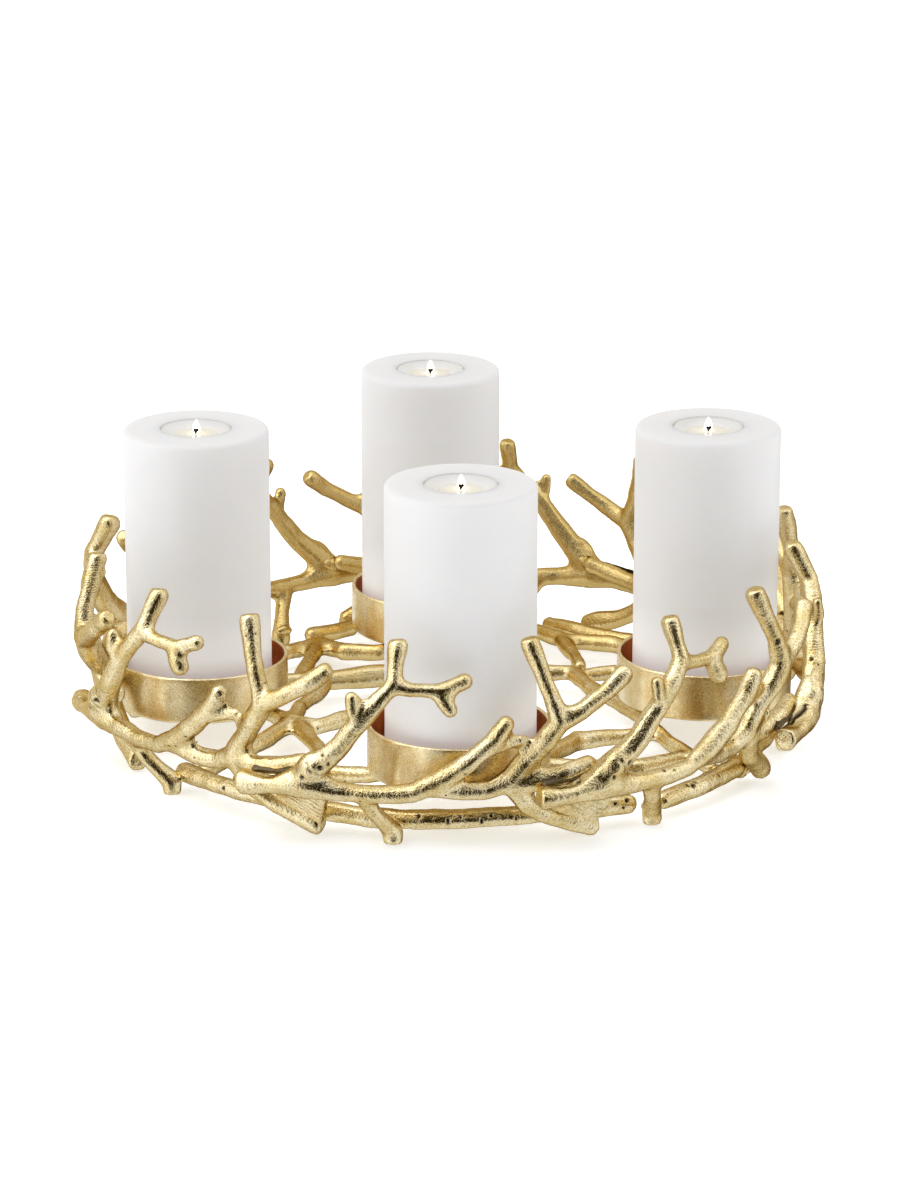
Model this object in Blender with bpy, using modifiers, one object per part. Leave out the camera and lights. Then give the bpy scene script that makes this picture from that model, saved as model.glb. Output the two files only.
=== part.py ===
"""Advent wreath: a ring of cast metal twigs that carries four cups with pillar candles.

The ring is one twig casting repeated round a circle. Each casting grows the same way
round, stands on a leg and a stump, and lies over the cut root of the next one. Bars
behind the legs and a floor of forked twigs tie the ring together under the cups.

Units are metres. The front of the wreath faces -Y, and angles round the ring are
counted from the front, positive towards +X.
"""
import math

import bmesh
import bpy
from mathutils import Vector

CM = 0.01
# Gap between pieces that touch on the real thing, in metres and again in cm
GAP = 0.0003
CLEAR = GAP / CM
COLLECTION = "advent_wreath"
SHARP_ANGLE = 50.0

# Blunt end of a twig: share of its half thickness over which it narrows, and what is
# left of its thickness there
TIP_LENGTH = 0.5
TIP_SHARE = 0.55

# Castings: turn from the front in degrees, then in cm how far all above the feet is
# raised, how much higher the stems end, how far the first and the second stem lean
# outwards, and last how many degrees further round the stump ends
CASTINGS = (
    (0.1, 0.0, -0.15, 0.0, 0.0, 0.0),
    (44.2, 0.0, 0.0, 0.0, 0.0, -4.5),
    (89.4, 0.0, 0.3, -0.65, -0.5, 0.0),
    (133.8, -0.25, 0.0, 0.0, 0.0, -1.5),
    (179.4, -0.25, 0.3, 0.0, 0.0, -1.5),
    (223.8, -0.25, -0.05, 0.0, 0.0, 0.0),
    (270.0, 0.0, -0.1, 0.15, 0.6, 0.0),
    (315.0, 0.08, 0.12, 0.0, 0.0, 0.0),
)
RAISE_STARTS = 0.6
RAISE_FULL = 2.6
STRETCH_STARTS = 3.6
STRETCH_FULL = 6.5
LEAN_STARTS = 3.9
LEAN_FULL = 7.0

# Twigs of one casting, each point as angle in degrees, then ring radius, height above
# the table and half thickness in cm
ROOT_AND_SPUR = (
    (-32.2, 20.3, 3.08, 0.60),
    (-27.0, 20.22, 3.36, 0.62),
    (-22.5, 19.92, 3.45, 0.76),
    (-18.0, 19.8, 3.15, 0.50),
    (-11.5, 19.55, 3.05, 0.43),
    (-6.5, 19.45, 3.2, 0.44),
    (-2.7, 19.4, 3.8, 0.52),
    (1.9, 19.45, 4.95, 0.50),
    (5.6, 19.5, 6.1, 0.46),
    (7.9, 19.5, 7.25, 0.34),
)
SPUR_NUB = (
    (4.6, 19.5, 5.65, 0.36),
    (10.6, 19.2, 6.05, 0.22),
)
FIRST_STEM = (
    (-22.8, 19.95, 3.7, 0.66),
    (-19.7, 20.1, 4.7, 0.58),
    (-17.1, 20.2, 5.6, 0.56),
    (-14.0, 20.2, 7.05, 0.50),
    (-11.3, 20.0, 8.2, 0.45),
    (-8.9, 19.7, 9.15, 0.42),
    (-8.7, 18.6, 11.1, 0.42),
)
FIRST_KNUCKLE = (
    (-20.0, 20.1, 4.4, 0.50),
    (-20.5, 20.15, 5.15, 0.36),
)
FIRST_SIDE = (
    (-9.4, 19.75, 9.0, 0.36),
    (-5.5, 19.6, 8.8, 0.32),
    (-2.0, 19.4, 8.75, 0.32),
    (2.2, 18.9, 9.2, 0.36),
)
FIRST_DROP = (
    (-2.6, 19.45, 8.7, 0.30),
    (-0.4, 19.5, 7.55, 0.28),
)
FIRST_THORN = (
    (-13.7, 20.25, 7.0, 0.30),
    (-14.4, 20.5, 7.75, 0.27),
    (-14.6, 20.4, 8.7, 0.24),
)
LINK_AND_SECOND_STEM = (
    (-3.8, 19.35, 3.45, 0.42),
    (1.0, 18.98, 3.15, 0.38),
    (5.0, 18.75, 3.15, 0.38),
    (8.2, 18.8, 3.6, 0.50),
    (11.1, 19.0, 4.9, 0.50),
    (13.6, 19.4, 6.0, 0.50),
    (15.5, 19.6, 7.0, 0.50),
    (14.0, 19.45, 8.5, 0.42),
    (11.2, 18.6, 11.1, 0.42),
)
SECOND_SIDE = (
    (15.2, 19.6, 6.9, 0.42),
    (19.0, 19.7, 7.55, 0.43),
    (22.9, 19.6, 8.35, 0.43),
    (26.4, 19.4, 9.25, 0.40),
)
TAIL_START = (
    (8.4, 18.8, 3.5, 0.44),
)
# Far part of the tail, its angles counted from the turn of the next casting
TAIL_END = (
    (-32.0, 19.08, 3.6, 0.46),
    (-27.5, 19.22, 3.9, 0.46),
    (-22.7, 19.13, 4.32, 0.43),
)
LEG = (
    (-14.2, 19.65, 3.15, 0.40),
    (-12.4, 19.0, 1.9, 0.42),
    (-10.1, 17.95, 0.6, 0.44),
    (-10.1, 17.95, 0.0, 0.41),
)
STUMP = (
    (8.6, 18.8, 3.5, 0.52),
    (11.5, 18.5, 2.1, 0.50),
    (15.5, 18.25, 1.35, 0.48),
    (23.1, 18.1, 0.50, 0.46),
)

# Bars of the lower ring, each point as angle in degrees, then ring radius, height above
# the table and half thickness in cm
BARS = (
    ((-24.5, 17.19, 1.05, 0.46), (32.0, 17.19, 1.05, 0.46)),
    ((36.7, 17.45, 0.95, 0.46), (57.0, 17.36, 1.0, 0.46), (58.3, 17.27, 0.92, 0.38),
     (59.2, 17.21, 0.80, 0.54), (61.2, 17.16, 0.70, 0.56)),
    ((64.0, 17.22, 1.05, 0.42), (107.0, 17.22, 1.05, 0.42)),
    ((114.5, 17.3, 1.05, 0.42), (125.0, 17.26, 1.05, 0.42), (145.0, 15.9, 1.05, 0.42),
     (154.0, 15.75, 1.05, 0.42), (161.5, 16.3, 1.05, 0.42)),
    ((166.0, 17.35, 1.08, 0.42), (190.0, 17.3, 1.08, 0.42)),
    ((201.0, 16.0, 1.1, 0.42), (206.0, 15.4, 1.1, 0.42), (213.4, 15.15, 1.1, 0.42)),
    ((255.0, 17.28, 1.05, 0.42), (271.5, 17.28, 1.05, 0.42)),
    ((304.0, 17.22, 1.05, 0.42), (333.6, 17.22, 1.05, 0.42)),
)
BAR_STEP = 9.0
BAR_WAVE = 0.10
BAR_WAVES_ROUND = 7

# Floor twigs, each point as X, Y, height above the table and half thickness in cm
FLOOR = {
    "floor_twigs_front_left": (
        ((-13.07, -10.33, 1.1, 0.36), (-10.4, -5.9, 1.15, 0.42), (-8.7, -2.4, 1.15, 0.48),
         (-7.3, -3.1, 1.15, 0.40), (-5.8, -1.6, 1.15, 0.40), (-3.2, -1.0, 1.15, 0.38),
         (-0.2, -0.3, 1.15, 0.38), (1.2, 2.0, 1.15, 0.36), (1.4, 4.0, 1.15, 0.34)),
        ((-8.9, -2.6, 1.15, 0.42), (-10.4, -0.6, 1.38, 0.42), (-14.6, 0.8, 1.41, 0.40)),
        ((-8.4, -2.9, 1.15, 0.42), (-7.4, -6.0, 1.2, 0.40), (-6.8, -8.6, 1.25, 0.38),
         (-6.6, -10.9, 1.3, 0.40)),
        ((-11.4, -11.5, 1.1, 0.40), (-8.7, -11.5, 1.2, 0.38), (-6.5, -11.0, 1.3, 0.42),
         (-4.4, -11.8, 1.5, 0.40), (-2.6, -12.9, 2.26, 0.36)),
        ((-8.7, -2.4, 1.15, 0.42), (-8.4, 0.3, 1.15, 0.38), (-7.4, 2.7, 1.15, 0.36),
         (-7.05, 4.2, 1.15, 0.34)),
    ),
    "floor_twigs_back_left": (
        ((-2.2, 6.0, 1.15, 0.46), (-4.4, 5.6, 1.15, 0.62), (-6.7, 4.9, 1.15, 0.52),
         (-9.4, 4.4, 1.2, 0.42), (-12.0, 2.7, 1.42, 0.40)),
        ((-8.6, 4.8, 1.15, 0.40), (-8.1, 8.3, 1.15, 0.38), (-7.7, 12.0, 0.9, 0.40)),
        ((-1.6, 11.3, 1.24, 0.42), (-4.2, 9.6, 1.23, 0.45), (-6.2, 10.2, 1.1, 0.45),
         (-7.7, 12.2, 0.87, 0.46), (-9.4, 10.2, 1.05, 0.42), (-11.6, 9.5, 1.1, 0.36)),
    ),
    "floor_twigs_back_right": (
        ((1.0, 13.2, 1.30, 0.40), (4.4, 13.9, 1.25, 0.42), (6.4, 11.9, 1.15, 0.45),
         (9.1, 11.1, 1.2, 0.42), (11.6, 8.6, 1.3, 0.38), (13.4, 3.2, 1.51, 0.36)),
        ((6.1, 12.0, 1.15, 0.40), (6.8, 8.9, 1.15, 0.36), (7.0, 7.0, 1.15, 0.34)),
    ),
    "floor_twigs_front_right": (
        ((2.3, 5.3, 1.15, 0.34), (4.4, 6.3, 1.15, 0.38), (6.5, 6.2, 1.15, 0.42),
         (7.5, 3.4, 1.15, 0.40), (9.8, -0.8, 1.2, 0.42), (10.6, -3.2, 1.2, 0.38),
         (10.1, -4.6, 1.2, 0.38), (8.4, -4.9, 1.2, 0.40), (6.5, -5.5, 1.2, 0.50),
         (5.1, -8.2, 1.4, 0.42), (4.4, -10.2, 1.6, 0.40), (2.8, -12.2, 2.26, 0.36)),
        ((7.0, 5.7, 1.15, 0.36), (8.9, 6.2, 1.2, 0.34), (11.2, 3.6, 1.35, 0.34)),
        ((10.5, -3.0, 1.2, 0.38), (11.4, -5.7, 1.15, 0.36), (13.49, -9.90, 1.1, 0.34)),
        ((9.9, -1.1, 1.2, 0.38), (12.0, -0.8, 1.49, 0.38), (14.6, 0.8, 1.49, 0.37)),
        ((4.5, -10.3, 1.5, 0.38), (6.3, -10.1, 1.3, 0.40), (9.7, -9.8, 1.2, 0.40),
         (12.0, -7.8, 1.15, 0.36)),
    ),
}

# Cups: centre X and Y, height of the underside and how far the candle stands off the
# cup's centre towards +X, all in cm
CUPS = (
    ("front", 0.2, -13.6, 2.60, 0.10),
    ("right", 13.5, 0.3, 1.87, 0.0),
    ("back", -1.1, 13.3, 1.70, -0.25),
    ("left", -13.7, 0.0, 1.82, -0.05),
)
CUP_RADIUS = 4.7
CUP_HEIGHT = 2.52
CUP_WALL = 0.20
CUP_FLOOR = 0.15
CUP_RIM_EASE = 0.06
CUP_FOOT_EASE = 0.15
CUP_STEPS = 36

CANDLE_RADIUS = 3.88
CANDLE_HEIGHT = 14.9
CANDLE_RIM = 0.28
CANDLE_FOOT_EASE = 0.12
CANDLE_STEPS = 36
INSERT_RADIUS = 1.93
INSERT_HEIGHT = 1.60
INSERT_WALL = 0.10
INSERT_STEPS = 28
WAX_DEPTH = 1.25
WAX_DIP = 0.04
WICK_RADIUS = 0.09
WICK_HEIGHT = 1.75
WICK_TIP = 0.1
WICK_TIP_SHARE = 0.6
WICK_STEPS = 8
TURNED_SEAM = 0.00005

# Middle of the box round the whole ring as built above, in cm, brought to X = Y = 0
BOX_MIDDLE = (0.0468, 0.0151)


def clear_scene():
    for obj in list(bpy.data.objects):
        bpy.data.objects.remove(obj, do_unlink=True)


def make_collection(name):
    collection = bpy.data.collections.new(name)
    bpy.context.scene.collection.children.link(collection)
    return collection


def make_material(name, colour, roughness, metallic, transmission=0.0):
    material = bpy.data.materials.new(name)
    material.use_nodes = True
    shader = material.node_tree.nodes["Principled BSDF"]
    shader.inputs["Base Color"].default_value = (*colour, 1.0)
    shader.inputs["Roughness"].default_value = roughness
    shader.inputs["Metallic"].default_value = metallic
    shader.inputs["Transmission Weight"].default_value = transmission
    return material


def cast_metal():
    return make_material("cast_gold", (0.72, 0.60, 0.33), 0.32, 1.0)


def cup_metal():
    return make_material("cup_gold", (0.62, 0.47, 0.22), 0.45, 1.0)


def pillar_wax():
    return make_material("pillar_wax", (0.90, 0.89, 0.87), 0.45, 0.0)


def tealight_wax():
    return make_material("tealight_wax", (0.90, 0.88, 0.80), 0.35, 0.0)


def clear_plastic():
    return make_material("clear_plastic", (0.95, 0.95, 0.95), 0.12, 0.0, 0.9)


def charred_cotton():
    return make_material("charred_cotton", (0.02, 0.017, 0.015), 0.9, 0.0)


def on_ring(angle, ring, height):
    """Point at an angle round the ring, in metres."""
    turn = math.radians(angle)
    return Vector((ring * math.sin(turn), -ring * math.cos(turn), height)) * CM


def round_tip(path):
    """Ends a path in a blunt dome in place of a flat cut."""
    tip, half = path[-1]
    before = path[-2][0]
    along = (tip - before).normalized()
    shoulder = tip - along * half * TIP_LENGTH * CM
    return path[:-1] + [(shoulder, half), (tip, half * TIP_SHARE)]


def tube_mesh(name, path, round_end=True, round_start=False):
    """Closed six-sided tube along points with their half thicknesses in cm."""
    if round_end:
        path = round_tip(path)
    if round_start:
        path = round_tip(path[::-1])[::-1]
    curve = bpy.data.curves.new(name, "CURVE")
    curve.dimensions = "3D"
    curve.bevel_depth = CM
    curve.bevel_resolution = 1
    curve.use_fill_caps = True
    spline = curve.splines.new("POLY")
    spline.points.add(len(path) - 1)
    for point, (place, half) in zip(spline.points, path):
        point.co = (*place, 1.0)
        point.radius = half
    guide = bpy.data.objects.new(name, curve)
    bpy.context.scene.collection.objects.link(guide)
    bpy.context.view_layer.update()
    depsgraph = bpy.context.evaluated_depsgraph_get()
    mesh = bpy.data.meshes.new_from_object(guide.evaluated_get(depsgraph))
    bpy.data.objects.remove(guide, do_unlink=True)
    bpy.data.curves.remove(curve)
    weld_caps(mesh)
    return mesh


def weld_caps(mesh):
    shape = bmesh.new()
    shape.from_mesh(mesh)
    bmesh.ops.remove_doubles(shape, verts=shape.verts, dist=0.00001)
    bmesh.ops.recalc_face_normals(shape, faces=shape.faces)
    shape.to_mesh(mesh)
    shape.free()


def fuse(name, meshes, material, collection):
    """One solid from overlapping tube meshes, by one union on their collection."""
    body = bpy.data.objects.new(name, meshes[0])
    collection.objects.link(body)
    branches = make_collection(name + "_branches")
    for mesh in meshes[1:]:
        branches.objects.link(bpy.data.objects.new(mesh.name, mesh))
    union = body.modifiers.new("Branches", "BOOLEAN")
    union.operation = "UNION"
    union.operand_type = "COLLECTION"
    union.collection = branches
    union.solver = "MANIFOLD"
    bpy.context.view_layer.update()
    depsgraph = bpy.context.evaluated_depsgraph_get()
    solid = bpy.data.meshes.new_from_object(body.evaluated_get(depsgraph))
    body.modifiers.clear()
    body.data = solid
    for branch in list(branches.objects):
        bpy.data.objects.remove(branch, do_unlink=True)
    bpy.data.collections.remove(branches)
    finish(body, material)
    return body


def finish(body, material):
    body.data.name = body.name
    body.data.materials.clear()
    body.data.materials.append(material)
    body.data.shade_smooth()
    body.data.set_sharp_from_angle(angle=math.radians(SHARP_ANGLE))


def eased(height, starts, full):
    """Share of a bend that a height takes, none near the feet and all of it higher up."""
    return min(max((height - starts) / (full - starts), 0.0), 1.0)


def casting_path(points, turn, rise, stretch, lean):
    path = []
    for angle, ring, height, half in points:
        ring = ring + lean * eased(height, LEAN_STARTS, LEAN_FULL)
        bend = stretch * eased(height, STRETCH_STARTS, STRETCH_FULL)
        bend += rise * eased(height, RAISE_STARTS, RAISE_FULL)
        path.append((on_ring(angle + turn, ring, height + bend), half))
    return path


def add_casting(number, shape, next_shape, material, collection):
    """One casting, whose tail ends over the cut root of the next one."""
    turn, rise, stretch, lean_first, lean_second, stump_turn = shape
    stump_end = (STUMP[-1][0] + stump_turn, *STUMP[-1][1:])
    name = f"branch_casting_{number}"
    rows = (
        ("spur", ROOT_AND_SPUR, lean_first, True),
        ("nub", SPUR_NUB, lean_first, True),
        ("stem", FIRST_STEM, lean_first, True),
        ("knuckle", FIRST_KNUCKLE, lean_first, True),
        ("side", FIRST_SIDE, lean_first, True),
        ("drop", FIRST_DROP, lean_first, True),
        ("thorn", FIRST_THORN, lean_first, True),
        ("second_side", SECOND_SIDE, lean_second, True),
        ("link", LINK_AND_SECOND_STEM, lean_second, False),
        ("leg", LEG, 0.0, False),
        ("stump", STUMP[:-1] + (stump_end,), 0.0, False),
    )
    meshes = []
    for part_name, points, lean, domed in rows:
        path = casting_path(points, turn, rise, stretch, lean)
        meshes.append(tube_mesh(f"{name}_{part_name}", path, round_end=domed))
    tail = casting_path(TAIL_START, turn, rise, 0.0, 0.0)
    tail += casting_path(TAIL_END, next_shape[0], next_shape[1], 0.0, 0.0)
    meshes.append(tube_mesh(name + "_tail", tail))
    return fuse(name, meshes, material, collection)


def bar_path(course):
    """Points along a bar at even steps round the ring, slightly waved in height."""
    stops = []
    for start, end in zip(course, course[1:]):
        steps = max(1, round((end[0] - start[0]) / BAR_STEP))
        for index in range(steps):
            share = index / steps
            stops.append([a + (b - a) * share for a, b in zip(start, end)])
    stops.append(course[-1])
    path = []
    for angle, ring, height, half in stops:
        wave = BAR_WAVE * math.sin(math.radians(angle * BAR_WAVES_ROUND))
        path.append((on_ring(angle, ring, height + wave), half))
    return path


def add_bar(number, course, material, collection):
    """Bar of the lower ring, blunt at both ends."""
    mesh = tube_mesh(f"lower_bar_{number}", bar_path(course), round_start=True)
    body = bpy.data.objects.new(f"lower_bar_{number}", mesh)
    collection.objects.link(body)
    finish(body, material)
    return body


def add_floor_twigs(name, twigs, material, collection):
    meshes = []
    for index, points in enumerate(twigs):
        path = [(Vector((x, y, z)) * CM, half) for x, y, z, half in points]
        meshes.append(tube_mesh(f"{name}_{index}", path, round_start=True))
    return fuse(name, meshes, material, collection)


def turned(name, profile, steps, centre, material, collection):
    """Solid turned from a closed profile of radius and height in cm, outer side first."""
    shape = bmesh.new()
    corners = [shape.verts.new((radius * CM, 0.0, height * CM)) for radius, height in profile]
    for first, second in zip(corners, corners[1:]):
        shape.edges.new((first, second))
    if profile[0][0] > 0.0:
        shape.edges.new((corners[-1], corners[0]))
    mesh = bpy.data.meshes.new(name)
    shape.to_mesh(mesh)
    shape.free()
    body = bpy.data.objects.new(name, mesh)
    body.location = centre
    collection.objects.link(body)
    screw = body.modifiers.new("Turn", "SCREW")
    screw.steps = steps
    screw.render_steps = steps
    screw.use_merge_vertices = True
    screw.merge_threshold = TURNED_SEAM
    finish(body, material)
    return body


def cup_profile():
    """Shallow cup with a thin wall and a softened rim, from the axis round to the axis."""
    inner = CUP_RADIUS - CUP_WALL
    return (
        (0.0, CUP_FLOOR),
        (inner, CUP_FLOOR),
        (inner, CUP_HEIGHT - CUP_RIM_EASE),
        (inner + CUP_RIM_EASE, CUP_HEIGHT),
        (CUP_RADIUS - CUP_RIM_EASE, CUP_HEIGHT),
        (CUP_RADIUS, CUP_HEIGHT - CUP_RIM_EASE),
        (CUP_RADIUS, CUP_FOOT_EASE),
        (CUP_RADIUS - CUP_FOOT_EASE, 0.0),
        (0.0, 0.0),
    )


def candle_profile():
    """Pillar with rounded edges and a round well for the tealight in its top."""
    well = INSERT_RADIUS + CLEAR
    edge = CANDLE_RIM * (1.0 - math.sqrt(0.5))
    return (
        (0.0, CANDLE_HEIGHT - INSERT_HEIGHT),
        (well, CANDLE_HEIGHT - INSERT_HEIGHT),
        (well, CANDLE_HEIGHT),
        (CANDLE_RADIUS - CANDLE_RIM, CANDLE_HEIGHT),
        (CANDLE_RADIUS - edge, CANDLE_HEIGHT - edge),
        (CANDLE_RADIUS, CANDLE_HEIGHT - CANDLE_RIM),
        (CANDLE_RADIUS, CANDLE_FOOT_EASE),
        (CANDLE_RADIUS - CANDLE_FOOT_EASE, 0.0),
        (0.0, 0.0),
    )


def insert_profile():
    """Clear tealight cup, measured from the bottom of the well."""
    inner = INSERT_RADIUS - INSERT_WALL
    return (
        (0.0, CLEAR + INSERT_WALL),
        (inner, CLEAR + INSERT_WALL),
        (inner, INSERT_HEIGHT),
        (INSERT_RADIUS, INSERT_HEIGHT),
        (INSERT_RADIUS, CLEAR),
        (0.0, CLEAR),
    )


def wax_profile():
    """Fill of the tealight with a narrow hole for the wick."""
    base = INSERT_WALL + 2.0 * CLEAR
    outer = INSERT_RADIUS - INSERT_WALL - CLEAR
    hole = WICK_RADIUS + CLEAR
    return (
        (outer, WAX_DEPTH),
        (outer, base),
        (hole, base),
        (hole, WAX_DEPTH - WAX_DIP),
        (outer * 0.5, WAX_DEPTH - WAX_DIP),
    )


def wick_profile():
    """Upright wick that stands on the floor of the tealight cup."""
    base = INSERT_WALL + 2.0 * CLEAR
    return (
        (0.0, WICK_HEIGHT),
        (WICK_RADIUS * WICK_TIP_SHARE, WICK_HEIGHT),
        (WICK_RADIUS, WICK_HEIGHT - WICK_TIP),
        (WICK_RADIUS, base),
        (0.0, base),
    )


def add_candle_set(side, x, y, underside, aside, materials, collection):
    """Cup with its pillar candle, and the tealight with its wick in the candle's top."""
    cup_at = Vector((x, y, underside)) * CM
    candle_at = cup_at + Vector((aside * CM, 0.0, CUP_FLOOR * CM + GAP))
    well_at = candle_at + Vector((0.0, 0.0, (CANDLE_HEIGHT - INSERT_HEIGHT) * CM))
    turned(f"candle_cup_{side}", cup_profile(), CUP_STEPS, cup_at,
           materials["cup"], collection)
    turned(f"pillar_candle_{side}", candle_profile(), CANDLE_STEPS, candle_at,
           materials["pillar"], collection)
    turned(f"tealight_cup_{side}", insert_profile(), INSERT_STEPS, well_at,
           materials["clear"], collection)
    turned(f"tealight_wax_{side}", wax_profile(), INSERT_STEPS, well_at,
           materials["tealight"], collection)
    turned(f"wick_{side}", wick_profile(), WICK_STEPS, well_at,
           materials["wick"], collection)


def main():
    clear_scene()
    collection = make_collection(COLLECTION)
    gold = cast_metal()
    materials = {
        "cup": cup_metal(),
        "pillar": pillar_wax(),
        "clear": clear_plastic(),
        "tealight": tealight_wax(),
        "wick": charred_cotton(),
    }
    for number, shape in enumerate(CASTINGS, start=1):
        add_casting(number, shape, CASTINGS[number % len(CASTINGS)], gold, collection)
    for number, course in enumerate(BARS, start=1):
        add_bar(number, course, gold, collection)
    for name, twigs in FLOOR.items():
        add_floor_twigs(name, twigs, gold, collection)
    for side, x, y, underside, aside in CUPS:
        add_candle_set(side, x, y, underside, aside, materials, collection)
    for body in collection.objects:
        body.location -= Vector((*BOX_MIDDLE, 0.0)) * CM


main()
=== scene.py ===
"""Looks of an advent wreath: cast gold twigs, spun cups, wax pillars and lit tealights."""

import math

import bpy
import numpy as np
from bpy.props import FloatProperty, FloatVectorProperty, IntProperty, PointerProperty
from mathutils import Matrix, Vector


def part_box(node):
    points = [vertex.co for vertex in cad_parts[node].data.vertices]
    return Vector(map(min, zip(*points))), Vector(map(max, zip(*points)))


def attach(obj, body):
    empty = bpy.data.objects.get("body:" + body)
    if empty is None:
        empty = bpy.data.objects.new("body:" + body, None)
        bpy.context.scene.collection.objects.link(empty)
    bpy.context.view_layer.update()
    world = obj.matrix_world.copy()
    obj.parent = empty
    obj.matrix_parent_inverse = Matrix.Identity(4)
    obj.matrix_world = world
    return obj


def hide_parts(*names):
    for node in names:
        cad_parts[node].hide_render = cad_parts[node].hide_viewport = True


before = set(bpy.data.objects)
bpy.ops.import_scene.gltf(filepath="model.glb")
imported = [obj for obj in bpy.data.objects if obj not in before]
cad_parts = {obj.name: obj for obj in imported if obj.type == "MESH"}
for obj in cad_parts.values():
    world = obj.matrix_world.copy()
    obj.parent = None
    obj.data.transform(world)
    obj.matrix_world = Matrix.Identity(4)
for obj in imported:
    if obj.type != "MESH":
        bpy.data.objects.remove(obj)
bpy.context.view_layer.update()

bl_info = {
    "name": "Advent Wreath",
    "version": (1, 0, 0),
    "blender": (4, 5, 0),
    "location": "3D View > Sidebar > Advent Wreath",
    "description": "Dresses the packed wreath in cast gold, wax and flames on a pale floor",
    "category": "Object",
}

SIDES = ("front", "right", "back", "left")
CASTINGS = [f"branch_casting_{number}" for number in range(1, 9)]
BARS = [f"lower_bar_{number}" for number in range(1, 9)]
FLOOR_TWIGS = [f"floor_twigs_{place}" for place in
               ("front_left", "back_left", "back_right", "front_right")]

# Turn of each casting from the front, in degrees, positive towards +X
TURNS = (0.1, 44.2, 89.4, 133.8, 179.4, 223.8, 270.0, 315.0)

# Welds as angle in degrees, ring radius, height and half width, in metres. The first
# rows are counted from each casting's turn, the others from the front
CASTING_WELDS = (
    (-22.6, 0.1950, 0.0392, 0.0046),
    (-10.1, 0.1765, 0.0085, 0.0032),
)
OTHER_WELDS = (
    (60.3, 0.1765, 0.0080, 0.0032),
    (54.1, 0.1680, 0.0110, 0.0030),
    (-148.3, 0.1470, 0.0110, 0.0030),
    (-52.3, 0.1680, 0.0110, 0.0030),
    (-120.1, 0.0840, 0.0112, 0.0028),
)

# Where castings are fuller than their CAD twigs: angle from the turn in degrees, ring
# radius, height, reach and amount in metres, and last whether only upwards
SWELLS = (
    (-22.5, 0.1990, 0.0360, 0.020, 0.0009, False),
    (-19.7, 0.2010, 0.0480, 0.015, 0.0004, False),
    (-21.4, 0.2055, 0.0470, 0.009, 0.0022, False),
    (2.5, 0.1895, 0.0300, 0.024, 0.0008, False),
    (9.5, 0.1890, 0.0400, 0.020, 0.0007, False),
    (14.5, 0.1955, 0.0640, 0.022, 0.0006, False),
    (-8.8, 0.1870, 0.1090, 0.016, 0.0008, False),
    (-1.0, 0.1948, 0.0800, 0.013, 0.0015, False),
    (7.0, 0.1950, 0.0690, 0.016, 0.0007, False),
    (-14.5, 0.2045, 0.0850, 0.010, 0.0004, False),
    (11.4, 0.1870, 0.1090, 0.016, 0.0006, False),
    (25.5, 0.1942, 0.0900, 0.014, 0.0004, False),
    (-10.1, 0.1795, 0.0050, 0.014, 0.0006, False),
    (20.5, 0.1815, 0.0100, 0.020, 0.0025, True),
    (-28.0, 0.2020, 0.0395, 0.015, -0.0034, True),
    (-12.2, 0.1885, 0.0175, 0.013, -0.0007, False),
)

# Twig ends that are cut flat: angle from the turn in degrees, ring radius and height,
# then the way the cut faces, as shares along the ring, outwards and up, and its depth
CUTS = (
    (-32.5, 0.2030, 0.0310, (-1.0, 0.12, 0.10), 0.0012),
    (-8.7, 0.1860, 0.1110, (-0.12, -0.15, 1.0), 0.0013),
    (11.2, 0.1860, 0.1110, (-0.15, -0.10, 1.0), 0.0012),
    (26.4, 0.1940, 0.0925, (0.8, -0.1, 0.6), 0.0008),
    (23.1, 0.1810, 0.0050, (1.0, 0.1, 0.05), 0.0014),
)

# Blow holes and nicks: node, angle from the front in degrees, ring radius, height, half
# width and how many times taller than wide, in metres
HOLES = (
    ("lower_bar_1", -6.1, 0.1753, 0.0128, 0.0009, 1.9),
    ("lower_bar_1", -1.2, 0.1755, 0.0108, 0.0010, 2.2),
    ("lower_bar_1", 0.7, 0.1758, 0.0126, 0.0008, 1.2),
    ("lower_bar_1", 4.3, 0.1758, 0.0110, 0.0010, 2.0),
    ("lower_bar_1", 5.9, 0.1758, 0.0138, 0.0011, 1.0),
    ("lower_bar_1", 9.9, 0.1758, 0.0116, 0.0008, 1.5),
    ("lower_bar_1", 14.2, 0.1758, 0.0128, 0.0009, 1.8),
    ("lower_bar_1", 27.6, 0.1754, 0.0124, 0.0010, 1.0),
    ("lower_bar_1", 28.9, 0.1754, 0.0104, 0.0008, 1.0),
    ("lower_bar_1", 29.8, 0.1754, 0.0132, 0.0012, 1.1),
    ("lower_bar_2", 43.0, 0.1756, 0.0134, 0.0011, 1.1),
    ("lower_bar_2", 43.9, 0.1756, 0.0118, 0.0013, 1.0),
    ("lower_bar_2", 44.7, 0.1756, 0.0138, 0.0009, 1.4),
    ("lower_bar_2", 50.7, 0.1760, 0.0124, 0.0007, 1.0),
    ("lower_bar_8", -42.6, 0.1758, 0.0118, 0.0009, 1.3),
    ("branch_casting_2", 57.3, 0.1966, 0.0845, 0.0011, 1.2),
    ("branch_casting_2", 32.3, 0.1969, 0.0343, 0.0009, 1.0),
    ("branch_casting_2", 33.9, 0.1969, 0.0331, 0.0006, 1.0),
    ("branch_casting_2", 17.5, 0.2016, 0.0392, 0.0012, 0.7),
    ("branch_casting_1", -17.9, 0.2066, 0.0487, 0.0008, 1.8),
    ("branch_casting_1", -14.0, 0.2060, 0.0640, 0.0006, 1.0),
    ("branch_casting_8", -47.5, 0.2000, 0.0350, 0.0006, 1.0),
    ("branch_casting_3", 71.0, 0.1981, 0.0602, 0.0010, 1.3),
)

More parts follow.
